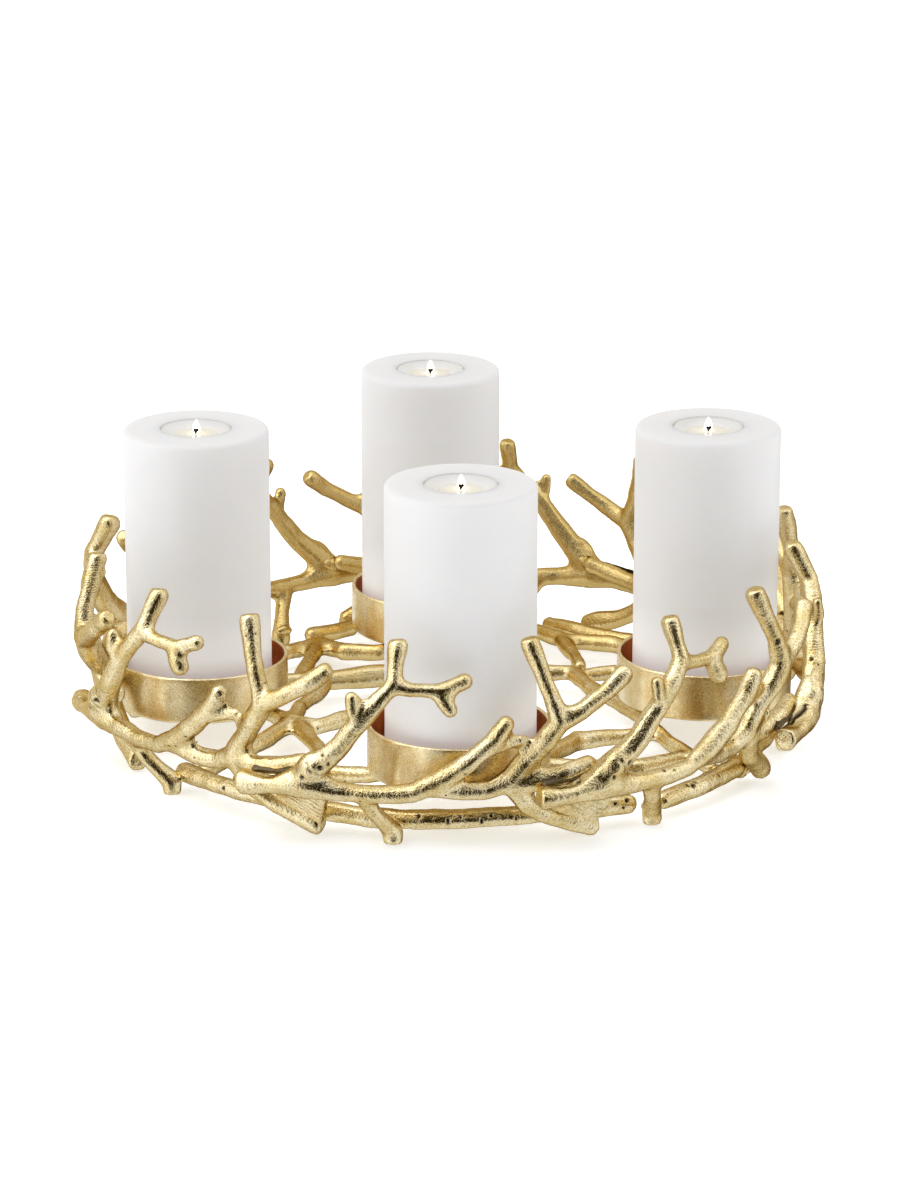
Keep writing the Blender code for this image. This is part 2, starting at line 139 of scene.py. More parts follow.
# Nicks that every casting has, as angle from its turn in degrees, ring radius, height,
# half width and how many times taller than wide
NICKS = (
    (-19.3, 0.2075, 0.0462, 0.0019, 0.60),
    (-18.8, 0.2070, 0.0525, 0.0009, 1.0),
    (-21.8, 0.2070, 0.0405, 0.0010, 1.6),
    (1.2, 0.1990, 0.0440, 0.0008, 0.6),
)

# Crease round the knot of every casting, as angles from its turn and heights
CREASE = ((-21.0, 0.0480), (-20.5, 0.0455), (-19.9, 0.0428), (-19.4, 0.0402))
CREASE_RING = 0.2070
CREASE_HALF = 0.0010
CREASE_DEPTH = 0.0006
# How much painted shade lies in the crease
CREASE_PAINTED_SHADE = 0.35

# Slits: node, half width, depth, how much painted shade is in the slit, and the angle, ring
# radius and height of each corner
SLITS = (
    ("branch_casting_3", 0.0020, 0.0014, 1.0,
     ((60.8, 0.1985, 0.0366), (62.5, 0.1982, 0.0376), (63.6, 0.2003, 0.0391),
      (64.8, 0.2016, 0.0412))),
)

# Stems with fine notches across them, by casting: the angles from its turn and the
# heights between which the notches are, then how soon they fade there
RIBS = {
    "branch_casting_3": ((-23.0, -10.5), (0.050, 0.096)),
    "branch_casting_7": ((10.0, 18.5), (0.058, 0.116)),
}
RIB_FADE_ANGLE = 0.8
RIB_FADE_HEIGHT = 0.006

# Castings that are fuller than the others, and by how much
FULLER_CASTINGS = {"branch_casting_7": 0.0005}

# Webs cast in the crotch between a root and the tail and stump of the casting before it,
# as four corners round, each with its angle from the turn in degrees, ring radius and
# height, then the web's thickness and the castings that have it
WEBS = (
    (((-31.5, 0.1968, 0.0345), (-23.0, 0.1960, 0.0370), (-23.0, 0.1935, 0.0420),
      (-31.5, 0.1925, 0.0385)), 0.0044, (1, 2, 3, 4, 5, 6, 7, 8)),
    (((-29.5, 0.1845, 0.0200), (-21.8, 0.1822, 0.0075), (-19.7, 0.1915, 0.0265),
      (-25.5, 0.1930, 0.0300)), 0.0064, (1, 2)),
)

# Lines of the wooden pattern on the webs above the stumps
GRAIN_PITCH = 0.0026
GRAIN_DEPTH = 0.0005

# How far round a cut its twig's end reaches, and how deep a blow hole may be
END_REACH = 0.013
DEEPEST_HOLE = 0.0015

# Sizes of the patches in which the cast metal swells, and of its small dents
SWELL_PATCH = 0.017
SKIN_PATCH = 0.0045
BEAD_PATCH = 0.0035

# Edge lengths of the mesh on the weld beads and the wicks
BEAD_MESH = 0.0008
WICK_MESH = 0.00022

# Painted shade of the cast gold in its pin holes, pits and notches, and the tint of its rims
PIN_HOLE_PAINTED_SHADE = (0.13, 0.08, 0.025)
PIT_PAINTED_SHADE = (0.026, 0.014, 0.004)
NOTCH_PAINTED_SHADE = (0.30, 0.19, 0.05)
RIM_TINT = (0.80, 0.64, 0.36)

# The photo's longer side in pixels, and the camera's sensor in millimetres
PHOTO_HEIGHT = 1200
SENSOR = 36.0

# Bright panels of the tent: azimuth from the front and elevation in degrees, radius of
# the even middle and of the faded edge in degrees, and brightness
PANELS = (
    (0.0, 90.0, 24.0, 48.0, 1.35),
    (-74.0, 30.0, 20.0, 42.0, 1.60),
    (76.0, 26.0, 14.0, 36.0, 1.05),
    (-60.0, -24.0, 16.0, 40.0, 1.25),
    (60.0, -24.0, 16.0, 40.0, 1.00),
    (-152.0, -12.0, 14.0, 34.0, 1.00),
)


def select_only(piece):
    bpy.ops.object.select_all(action="DESELECT")
    piece.select_set(True)
    bpy.context.view_layer.objects.active = piece


def modify(piece, kind, **settings):
    """Adds a modifier with its settings and applies it."""
    modifier = piece.modifiers.new(kind.title(), kind)
    for key, value in settings.items():
        setattr(modifier, key, value)
    select_only(piece)
    bpy.ops.object.modifier_apply(modifier=modifier.name)


def remesh(piece, edge):
    """Gives the piece one closed skin of even mesh."""
    modify(piece, "REMESH", mode="VOXEL", voxel_size=edge, use_smooth_shade=True)


def smooth(piece, rounds):
    """Evens the skin out, a little more with each round."""
    modify(piece, "SMOOTH", factor=0.5, iterations=rounds)


def dent(piece, name, patch, detail, strength, level=0.5):
    """Moves the skin out and in by a cloudy pattern with patches of one size."""
    texture = bpy.data.textures.new(name, "CLOUDS")
    texture.noise_scale = patch
    texture.noise_depth = detail
    modify(piece, "DISPLACE", texture=texture, texture_coords="LOCAL", strength=strength,
           mid_level=level)


def settle(piece):
    """Puts the piece's place in its mesh."""
    select_only(piece)
    bpy.ops.object.transform_apply(location=True, rotation=True, scale=True)


def dress(piece, material, slot, *nodes):
    """Gives the piece its material, hides the CAD nodes that it stands for, and attaches it to
    the root body.
    """
    if not piece.data.materials:
        piece.data.materials.append(material)
    if nodes:
        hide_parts(*nodes)
    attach(piece, "root")


def read_points(piece):
    points = np.zeros(len(piece.data.vertices) * 3)
    piece.data.vertices.foreach_get("co", points)
    return points.reshape(-1, 3)


def read_normals(piece):
    normals = np.zeros(len(piece.data.vertices) * 3)
    piece.data.vertices.foreach_get("normal", normals)
    return normals.reshape(-1, 3)


def write_points(piece, points):
    piece.data.vertices.foreach_set("co", points.ravel())
    piece.data.update()


def on_ring(angle, ring, height):
    """Point at an angle from the front in degrees, a ring radius and a height."""
    turn = math.radians(angle)
    return Vector((ring * math.sin(turn), -ring * math.cos(turn), height))


def polar_of(points, centre):
    """Offset, distance and angle of each point from an upright axis."""
    across = points[:, :2] - np.array(centre[:2])
    return across, np.linalg.norm(across, axis=1), np.arctan2(across[:, 1], across[:, 0])


def push_outwards(piece, points, across, distance, amount):
    """Moves each point away from the axis by its own amount."""
    points[:, :2] += across / np.maximum(distance, 1e-6)[:, None] * amount[:, None]
    write_points(piece, points)


def between(values, low, high, fade):
    """1 between two limits, with a fade down to 0 at both."""
    return np.clip((values - low) / fade, 0, 1) * np.clip((high - values) / fade, 0, 1)


def merged_copy(node, name):
    """New object with a copy of a CAD node's mesh, its loose triangles joined."""
    piece = bpy.data.objects.new(name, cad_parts[node].data.copy())
    piece.data.name = name
    piece.data.materials.clear()
    bpy.context.scene.collection.objects.link(piece)
    select_only(piece)
    bpy.ops.object.mode_set(mode="EDIT")
    bpy.ops.mesh.select_all(action="SELECT")
    bpy.ops.mesh.remove_doubles(threshold=0.00001)
    bpy.ops.object.mode_set(mode="OBJECT")
    return piece


def grow(piece, amount):
    """Moves the whole surface outwards, or inwards for a negative amount."""
    write_points(piece, read_points(piece) + read_normals(piece) * amount)


def swell_near(piece, place, reach, amount, upwards):
    """Makes a twig fuller round one place, fading out to nothing at its reach. Upwards, its
    sides hardly move."""
    points = read_points(piece)
    normals = read_normals(piece)
    distance = np.linalg.norm(points - np.array(place), axis=1) / reach
    fade = np.clip(1.0 - distance ** 2, 0.0, 1.0) ** 2
    if upwards:
        normals = normals * 0.15 + np.maximum(normals[:, 2:3], 0.0) * np.array((0.0, 0.0, 1.0))
    write_points(piece, points + normals * (fade * amount)[:, None])


def fill_crotches(piece, radius, edge):
    """Rounds inner corners where twigs meet: the surface goes out and comes back in."""
    grow(piece, radius)
    remesh(piece, edge)
    smooth(piece, 2)
    grow(piece, -radius)


def cut_flat(piece, angle, ring, height, facing, depth):
    """Cuts a twig's end flat: what stands beyond a plane across it is pressed into it."""
    points = read_points(piece)
    turn = math.radians(angle)
    along = np.array((math.cos(turn), math.sin(turn), 0.0))
    out = np.array((math.sin(turn), -math.cos(turn), 0.0))
    aim = along * facing[0] + out * facing[1] + np.array((0.0, 0.0, facing[2]))
    aim /= np.linalg.norm(aim)
    away = np.linalg.norm(points - np.array(on_ring(angle, ring, height)), axis=1)
    near = away < END_REACH
    if not near.any():
        raise RuntimeError(f"{piece.name} has no twig end at {angle:.1f} degrees")
    reach = points @ aim
    limit = reach[near].max() - depth
    excess = np.where(near, np.maximum(reach - limit, 0.0), 0.0)
    write_points(piece, points - excess[:, None] * aim)


def cast_surface(node, edge, fuller, metal, turn=None):
    """Rounds a CAD twig off and gives it the uneven thickness of a sand casting. A casting
    is given its turn, and gets its swells and cut ends there."""
    piece = merged_copy(node, node + "_cast")
    remesh(piece, edge)
    if turn is not None:
        for angle, ring, height, reach, amount, upwards in SWELLS:
            place = on_ring(turn + angle, ring, height)
            swell_near(piece, place, reach, amount, upwards)
    fill_crotches(piece, metal.crotch, edge)
    remesh(piece, edge)
    smooth(piece, metal.rounding)
    dent(piece, node + "_swell", SWELL_PATCH, 1, metal.swell, 0.5 - fuller / metal.swell)
    if turn is not None:
        for angle, ring, height, facing, depth in CUTS:
            cut_flat(piece, turn + angle, ring, height, facing, depth)
        smooth(piece, 2)
    dent(piece, node + "_skin", SKIN_PATCH, 1, metal.skin)
    points = read_points(piece)
    points[:, 2] = np.maximum(points[:, 2], 0.0)
    write_points(piece, points)
    select_only(piece)
    bpy.ops.object.shade_smooth()
    return piece


def mark(piece, name, values):
    """Keeps a value for each point in the mesh, for the material to read."""
    layer = piece.data.attributes.new(name, "FLOAT", "POINT")
    layer.data.foreach_set("value", values)


def mark_ribs(piece, turn, angles, heights):
    """Marks the part of a stem that has fine notches across it."""
    points = read_points(piece)
    angle = np.degrees(np.arctan2(points[:, 0], -points[:, 1])) - turn
    angle = (angle + 180.0) % 360.0 - 180.0
    mark(piece, "rib", between(angle, *angles, RIB_FADE_ANGLE)
         * between(points[:, 2], *heights, RIB_FADE_HEIGHT))


def groove_of(points, corners, half):
    """How deep each point lies in a groove through the surface by its corners, 0 to 1."""
    bends = []
    for corner in corners:
        place = np.array(on_ring(*corner))
        bends.append(points[np.argmin(np.linalg.norm(points - place, axis=1))])
    groove = np.zeros(len(points))
    for first, second in zip(bends, bends[1:]):
        along = second - first
        share = np.clip((points - first) @ along / (along @ along), 0.0, 1.0)
        away = np.linalg.norm(points - first - share[:, None] * along, axis=1)
        groove = np.maximum(groove, 1.0 - (away / half) ** 2)
    return groove


def pit_surface(piece, node, turn=None):
    """Sinks blow holes, nicks, slits and the knot's crease in the surface, and marks them
    in the pit attribute for the painted shade of their insides. A casting is given its turn."""
    points = read_points(piece)
    normals = read_normals(piece)
    marks = np.zeros(len(points))
    holes = [row[1:] for row in HOLES if row[0] == node]
    grooves = [row[1:] for row in SLITS if row[0] == node]
    if turn is not None:
        holes += [(turn + row[0], *row[1:]) for row in NICKS]
        crease = [(turn + angle, CREASE_RING, height) for angle, height in CREASE]
        grooves.append((CREASE_HALF, CREASE_DEPTH, CREASE_PAINTED_SHADE, crease))
    for angle, ring, height, half, tall in holes:
        place = np.array(on_ring(angle, ring, height))
        centre = int(np.argmin(np.linalg.norm(points - place, axis=1)))
        offset = points - points[centre]
        offset[:, 2] /= tall
        reach = np.linalg.norm(offset, axis=1) / half
        bowl = np.clip(1.0 - reach ** 2, 0.0, 1.0)
        points -= normals[centre] * (bowl * min(half * 1.5, DEEPEST_HOLE))[:, None]
        marks = np.maximum(marks, np.clip(1.6 - 1.1 * reach, 0.0, 1.0))
    for half, depth, dark, corners in grooves:
        groove = groove_of(points, corners, half)
        points -= normals * (groove * depth)[:, None]
        marks = np.maximum(marks, groove * dark)
    write_points(piece, points)
    mark(piece, "pit", marks)


def put(tree, socket, value):
    """Links a socket to another node's, or gives it a constant."""
    if isinstance(value, bpy.types.NodeSocket):
        tree.links.new(value, socket)
    elif socket.type == "RGBA":
        socket.default_value = (*value, 1.0)
    else:
        socket.default_value = value


def put_all(tree, node, **values):
    """Puts values in a node's inputs, by their names with underscores for spaces."""
    for key, value in values.items():
        put(tree, node.inputs[key.replace("_", " ")], value)


def add_node(tree, kind, **values):
    """Adds a shader node with values for its settings and its inputs."""
    node = tree.nodes.new(kind)
    for key, value in values.items():
        if key in node.bl_rna.properties:
            setattr(node, key, value)
        else:
            put_all(tree, node, **{key: value})
    return node


def new_finish(name):
    """New material, with its tree, its shader and the Object coordinates."""
    material = bpy.data.materials.new(name)
    material.use_nodes = True
    tree = material.node_tree
    place = add_node(tree, "ShaderNodeTexCoord").outputs["Object"]
    return material, tree, tree.nodes["Principled BSDF"], place


def noise_of(tree, place, scale, detail=2.0, roughness=0.5):
    """Cloudy pattern from 0 to 1, finer as the scale grows."""
    node = add_node(tree, "ShaderNodeTexNoise", Vector=place, Scale=scale, Detail=detail,
                    Roughness=roughness)
    return node.outputs["Fac"]


def ramp_of(tree, factor, stops):
    """Colours along a factor, from stops of position and colour."""
    node = add_node(tree, "ShaderNodeValToRGB", Fac=factor)
    ramp = node.color_ramp
    while len(ramp.elements) < len(stops):
        ramp.elements.new(0.5)
    for element, (position, colour) in zip(ramp.elements, stops):
        element.position = position
        element.color = (*colour, 1.0)
    return node.outputs["Color"]


def range_of(tree, value, low, high, to_low, to_high):
    """Smooth step from one value to another while a third goes from low to high."""
    node = add_node(tree, "ShaderNodeMapRange", interpolation_type="SMOOTHSTEP", Value=value,
                    From_Min=low, From_Max=high, To_Min=to_low, To_Max=to_high)
    return node.outputs["Result"]


def maths_of(tree, operation, first, second):
    """Result of a sum, a product or another operation on two values."""
    node = add_node(tree, "ShaderNodeMath", operation=operation)
    put(tree, node.inputs[0], first)
    put(tree, node.inputs[1], second)
    return node.outputs["Value"]


def times(tree, first, second):
    return maths_of(tree, "MULTIPLY", first, second)


def blend_of(tree, factor, first, second):
    """Goes from the first colour to the second as the factor goes from 0 to 1."""
    node = add_node(tree, "ShaderNodeMix", data_type="RGBA", Factor=factor)
    put(tree, node.inputs[6], first)
    put(tree, node.inputs[7], second)
    return node.outputs[2]


def bump_of(tree, height, strength, distance, below=None):
    """Relief in the shading, on top of the relief below."""
    node = add_node(tree, "ShaderNodeBump", Height=height, Strength=strength,
                    Distance=distance)
    if below:
        put(tree, node.inputs["Normal"], below)
    return node.outputs["Normal"]


def mark_of(tree, name):
    """What a piece's mesh keeps for each point under a name."""
    return add_node(tree, "ShaderNodeAttribute", attribute_name=name).outputs["Fac"]


def flipped(tree, value):
    """1 where the value is 0 and 0 where it is 1, for marks that lie deeper."""
    return range_of(tree, value, 0.0, 1.0, 1.0, 0.0)


def ribs_of(tree, place, pitch):
    """Fine notches across a twig, where its rib attribute asks for them."""
    wave = add_node(tree, "ShaderNodeTexWave", bands_direction="Z", Vector=place,
                    Scale=2.0 * math.pi / (20.0 * pitch), Distortion=5.0, Detail=3.0,
                    Detail_Scale=1.2)
    notch = range_of(tree, wave.outputs["Fac"], 0.20, 0.70, 1.0, 0.0)
    patches = range_of(tree, noise_of(tree, place, 190.0, 2.0), 0.40, 0.62, 0.1, 1.0)
    return times(tree, times(tree, notch, patches), mark_of(tree, "rib"))


def cast_gold(metal):
    """Satin champagne gold over a sand-cast skin, with darker mottling and scattered pin holes,
    painted shade deeper towards the back of the ring, and painted shade in the grain's low
    spots, the pin holes, pits and notches."""
    material, tree, shader, place = new_finish("cast_gold_satin")
    mottle = noise_of(tree, place, 60.0, 3.0, 0.55)
    colour = ramp_of(tree, mottle, ((0.36, metal.deep_gold), (0.58, metal.pale_gold)))
    speckle = noise_of(tree, place, 820.0, 3.0, 0.6)
    # Painted shade: the low spots of the grain get a duller, darker gold
    painted_grain_shade = range_of(tree, speckle, 0.36, 0.54, 0.65, 0.0)
    colour = blend_of(tree, painted_grain_shade, colour, metal.grain_shade_gold)
    axes = add_node(tree, "ShaderNodeSeparateXYZ", Vector=place).outputs
    # Painted shade: the castings towards the back of the ring get a deeper gold
    rear_shade = range_of(tree, axes["Y"], -0.02, 0.15, 0.0, 1.0)
    colour = blend_of(tree, rear_shade, colour, metal.rear_shade_gold)
    cells = add_node(tree, "ShaderNodeTexVoronoi", Vector=place, Scale=210.0)
    chance = add_node(tree, "ShaderNodeSeparateColor", Color=cells.outputs["Color"])
    chosen = range_of(tree, chance.outputs["Red"], 0.93, 0.95, 0.0, 1.0)
    holes = range_of(tree, cells.outputs["Distance"], 0.07, 0.16, 1.0, 0.0)
    pin_holes = times(tree, holes, chosen)
    # Painted shade inside the pin holes
    colour = blend_of(tree, pin_holes, colour, PIN_HOLE_PAINTED_SHADE)
    pits = mark_of(tree, "pit")
    # Painted shade in the pits and slits, and in the hollows and grooves of the welds' webs
    colour = blend_of(tree, pits, colour, PIT_PAINTED_SHADE)
    ribs = ribs_of(tree, place, metal.rib_pitch)
    # Painted shade in the notches
    colour = blend_of(tree, times(tree, ribs, 0.55), colour, NOTCH_PAINTED_SHADE)
    rough = range_of(tree, noise_of(tree, place, 160.0, 3.0), 0.3, 0.7, 0.08, 0.15)
    pit_roughness = range_of(tree, pits, 0.0, 1.0, 0.0, 0.40)
    hammer = bump_of(tree, noise_of(tree, place, 260.0, 2.0), 0.30, 0.0006)
    grain = bump_of(tree, speckle, 0.75, 0.00050, hammer)
    notched = bump_of(tree, flipped(tree, ribs), 0.6, 0.00018, grain)
    sunk = bump_of(tree, flipped(tree, pin_holes), 0.8, 0.0006, notched)
    put_all(tree, shader, Base_Color=colour, Metallic=1.0, Specular_Tint=RIM_TINT,
            Roughness=maths_of(tree, "ADD", rough, pit_roughness), Normal=sunk)
    return material


def shared_gold(metal):
    """The cast gold, made by whichever of its operators comes first."""
    return bpy.data.materials.get("cast_gold_satin") or cast_gold(metal)


def cup_gold(cups):
    """Duller gold of the spun cups, with painted reflections as browner upright bands, and a
    fine grain.
    """
    material, tree, shader, place = new_finish("cup_gold_matte")
    mottle = noise_of(tree, place, 110.0, 2.0, 0.5)
    colour = ramp_of(tree, mottle, ((0.32, cups.deep_gold), (0.66, cups.pale_gold)))
    # Painted reflection: upright bands of browner gold
    upright = add_node(tree, "ShaderNodeMapping", Vector=place, Scale=(1.0, 1.0, 0.22))
    bands = noise_of(tree, upright.outputs["Vector"], 62.0, 1.0)
    bands = range_of(tree, bands, 0.50, 0.66, 0.0, 0.85)
    rough = range_of(tree, noise_of(tree, place, 500.0, 3.0), 0.3, 0.7, 0.20, 0.32)
    brushed = add_node(tree, "ShaderNodeMapping", Vector=place, Scale=(1.0, 1.0, 2.2))
    grain = noise_of(tree, brushed.outputs["Vector"], 900.0, 3.0, 0.6)
    put_all(tree, shader, Base_Color=blend_of(tree, bands, colour, cups.reflection_band_gold),
            Metallic=1.0, Roughness=rough, Normal=bump_of(tree, grain, 0.5, 0.00032))
    return material


def cup_inside_reflection(cups):
    """Coppery brown of the cups' insides, a painted reflection: the redder gold of walls that
    mirror each other.
    """
    material, tree, shader, place = new_finish("cup_inside_reflection_tone")
    mottle = noise_of(tree, place, 90.0, 3.0)
    deep = [0.6 * part for part in cups.inside]
    grain = noise_of(tree, place, 1200.0, 3.0)
    put_all(tree, shader, Base_Color=ramp_of(tree, mottle, ((0.35, deep), (0.65, cups.inside))),
            Metallic=1.0, Roughness=0.42, Normal=bump_of(tree, grain, 0.3, 0.0003))
    return material


def wax_of(name, colour, shade, depth, roughness, coat, cup_painted_glow=None):
    """Candle wax that light sinks into, with a faint cloudiness. A pillar's wax also has a
    painted
    glow down by the cup: emission that lightens its foot, where the cup shades it."""
    material, tree, shader, place = new_finish(name)
    clouds = noise_of(tree, place, 28.0, 3.0, 0.55)
    soft = noise_of(tree, place, 60.0, 2.0)
    put_all(tree, shader, Base_Color=ramp_of(tree, clouds, ((0.3, shade), (0.7, colour))),
            Roughness=roughness, IOR=1.44, Coat_Weight=coat, Coat_Roughness=0.12,
            Subsurface_Weight=0.5, Subsurface_Radius=(1.0, 0.85, 0.7), Subsurface_Scale=depth,
            Normal=bump_of(tree, soft, 0.12, 0.0012))
    # Painted light: emission that lightens the pillar's foot by the cup, where the cup shades
    # it
    if cup_painted_glow is not None:
        glow = blend_of(tree, mark_of(tree, "cup_painted_glow"), (0.0, 0.0, 0.0), cup_painted_glow)
        put_all(tree, shader, Emission_Color=glow, Emission_Strength=1.0)
    return material


def clear_plastic():
    """Thin clear moulding, slightly hazed, that takes the tone of the wax behind it."""
    material, tree, shader, place = new_finish("tealight_clear")
    haze = range_of(tree, noise_of(tree, place, 300.0, 2.0), 0.3, 0.7, 0.05, 0.18)
    put_all(tree, shader, Base_Color=(0.93, 0.90, 0.87), Roughness=haze, IOR=1.49, Alpha=0.85)
    return material


def burnt_cotton():
    """Charred wick with a fine thread."""
    material, tree, shader, place = new_finish("wick_charred")
    fibre = noise_of(tree, place, 2400.0, 3.0)
    colour = ramp_of(tree, fibre, ((0.35, (0.004, 0.003, 0.003)), (0.75, (0.03, 0.024, 0.02))))
    put_all(tree, shader, Base_Color=colour, Roughness=0.85,
            Normal=bump_of(tree, fibre, 0.7, 0.0002))
    return material


def flame_light(flames):
    """Bright yellow-white flame, unevenly warm."""
    material, tree, shader, place = new_finish("flame_glow")
    flicker = noise_of(tree, place, 180.0, 1.0)
    glow = ramp_of(tree, flicker, ((0.3, (1.0, 0.86, 0.62)), (0.6, (1.0, 0.95, 0.84))))
    put_all(tree, shader, Base_Color=(1.0, 0.92, 0.75), Roughness=1.0, Emission_Color=glow,
            Emission_Strength=flames.brightness)
    return material


def pale_floor(stage):
    """Matt floor that glows slightly, as on a light table."""
    material, tree, shader, place = new_finish("floor_pale")
    shade = [0.985 * part for part in stage.floor]
    colour = ramp_of(tree, noise_of(tree, place, 3.0), ((0.3, shade), (0.7, stage.floor)))
    put_all(tree, shader, Base_Color=colour, Roughness=0.9, Emission_Color=(0.95, 0.98, 1.0),
            Emission_Strength=stage.floor_glow)
    return material


def raised(name, centre, rings, sides):
    """Turned solid: a filled circle pulled through rings of radius and height."""
    bpy.ops.object.select_all(action="DESELECT")
    radius, height = rings[0]
    bpy.ops.mesh.primitive_circle_add(vertices=sides, radius=radius, fill_type="NGON",
                                      location=(centre[0], centre[1], height))
    piece = bpy.context.active_object
    piece.name = name
    piece.data.name = name
    bpy.ops.object.mode_set(mode="EDIT")
    bpy.ops.mesh.select_all(action="SELECT")
    for next_radius, next_height in rings[1:]:
        lift = (0.0, 0.0, next_height - height)
        bpy.ops.mesh.extrude_region_move(TRANSFORM_OT_translate={"value": lift})
        share = next_radius / radius
        if share != 1.0:
            bpy.ops.transform.resize(value=(share, share, 1.0),
                                     center_override=(centre[0], centre[1], next_height))
        radius, height = next_radius, next_height
    bpy.ops.mesh.select_all(action="SELECT")
    bpy.ops.mesh.normals_make_consistent(inside=False)
    bpy.ops.object.mode_set(mode="OBJECT")
    settle(piece)
    bpy.ops.object.shade_smooth_by_angle(angle=math.radians(40.0))
    return piece


def arc_rings(radius, height, size, first, last, steps):
    """Rings along a rounded edge whose middle lies at a radius and height."""
    rings = []
    for index in range(steps + 1):
        turn = math.radians(first + (last - first) * index / steps)
        rings.append((radius + size * math.cos(turn), height + size * math.sin(turn)))
    return rings


def steps_between(radius, low, high, count):
    """Rings of one radius at even heights, without the first and the last."""
    return [(radius, low + (high - low) * index / count) for index in range(1, count)]


def middle_of(node):
    """Middle, lowest and highest corner of the box round a CAD node."""
    low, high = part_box(node)
    return (low + high) / 2.0, low, high


def add_second_finish(piece, centre, first, second, wanted):
    """Gives a turned piece two materials, the second where wanted says so of a face's
    distance from the axis and its height."""
    piece.data.materials.append(first)
    piece.data.materials.append(second)
    for face in piece.data.polygons:
        across = Vector((face.center.x - centre.x, face.center.y - centre.y))
        face.material_index = 1 if wanted(across.length, face.center.z) else 0


def make_cup(side, cups, outer, inner):
    """Spun cup with a rolled lip, with a coppery tone inside as painted reflection."""
    node = f"candle_cup_{side}"
    centre, low, high = middle_of(node)
    radius = (high.x - low.x) / 2.0
    inside = radius - cups.wall
    lip = cups.wall / 2.0
    floor = low.z + cups.floor
    rings = [(radius * 0.5, low.z)]
    rings += arc_rings(radius - cups.foot, low.z + cups.foot, cups.foot, -90.0, 0.0, 5)
    rings += steps_between(radius, low.z + cups.foot, high.z - lip, 10)
    rings += arc_rings(radius - lip, high.z - lip, lip, 0.0, 180.0, 6)
    rings += steps_between(inside, high.z - lip, floor + cups.foot, 8)
    rings += arc_rings(inside - cups.foot, floor + cups.foot, cups.foot, 0.0, -90.0, 4)
    rings.append((radius * 0.5, floor))
    piece = raised(node + "_spun", centre, rings, 144)
    wobble(piece, centre, low.z, high.z, cups.wobble, SIDES.index(side))
    widest = inside + 0.2 * cups.wall
    lowest = low.z + 0.4 * cups.floor

    def is_inside(distance, height):
        return distance < widest and lowest < height < high.z - lip

    add_second_finish(piece, centre, outer, inner, is_inside)
    dress(piece, outer, "cup_gold", node)


def wobble(piece, centre, low, high, amount, phase):
    """Slightly uneven wall, as a thin spun cup has, steady at the rim and the foot."""
    points = read_points(piece)
    across, distance, angle = polar_of(points, centre)
    angle = angle + phase
    rise = np.clip((points[:, 2] - low) / (high - low), 0.0, 1.0)
    waves = (np.sin(5.0 * angle + 2.0 * rise) + 1.3 * np.sin(13.0 * angle + 1.0)
             + 0.7 * np.sin(21.0 * angle - rise))
    on_wall = distance > 0.04
    push_outwards(piece, points, across, distance,
                  amount * waves * np.sin(rise * math.pi) * on_wall)


def make_candle(side, wax, material):
    """Pillar with rounded edges and a well for its tealight."""
    node = f"pillar_candle_{side}"
    centre, low, high = middle_of(node)
    insert_low, insert_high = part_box(f"tealight_cup_{side}")
    radius = (high.x - low.x) / 2.0
    well = (insert_high.x - insert_low.x) / 2.0 + wax.play
    bottom = insert_low.z - wax.play
    rim = wax.rim
    foot = wax.rim * 0.4
    edge = 0.0002
    rings = [(radius * 0.4, low.z)]
    rings += arc_rings(radius - foot, low.z + foot, foot, -90.0, 0.0, 4)
    rings += steps_between(radius, low.z + foot, high.z - rim, 24)
    rings += arc_rings(radius - rim, high.z - rim, rim, 0.0, 90.0, 8)
    rings += [(well + (radius - rim - well) * share, high.z) for share in (0.75, 0.5, 0.25)]
    rings += arc_rings(well + edge, high.z - edge, edge, 90.0, 180.0, 3)
    rings += [(well, bottom), (well * 0.3, bottom)]
    piece = raised(node + "_poured", centre, rings, 128)
    soften_sides(piece, centre, wax.unevenness, SIDES.index(side), well)
    cup_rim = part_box(f"candle_cup_{side}")[1].z
    points = read_points(piece)
    distance = polar_of(points, centre)[1]
    # Painted light: the glow fades from the cup's rim up to the glow reach, outside the well
    lit = np.clip(1.0 - (points[:, 2] - cup_rim) / wax.painted_glow_reach, 0.0, 1.0)
    mark(piece, "cup_painted_glow", lit * (distance > well + 0.002))
    dress(piece, material, "pillar_wax", node)


def soften_sides(piece, centre, amount, phase, well):
    """Faint unevenness of a poured pillar, outside its well."""
    points = read_points(piece)
    across, distance, angle = polar_of(points, centre)
    height = points[:, 2] * 60.0
    waves = np.sin(3.0 * angle + height + phase) * np.sin(2.0 * angle - 0.7 * height)
    push_outwards(piece, points, across, distance, amount * waves * (distance > well + 0.003))


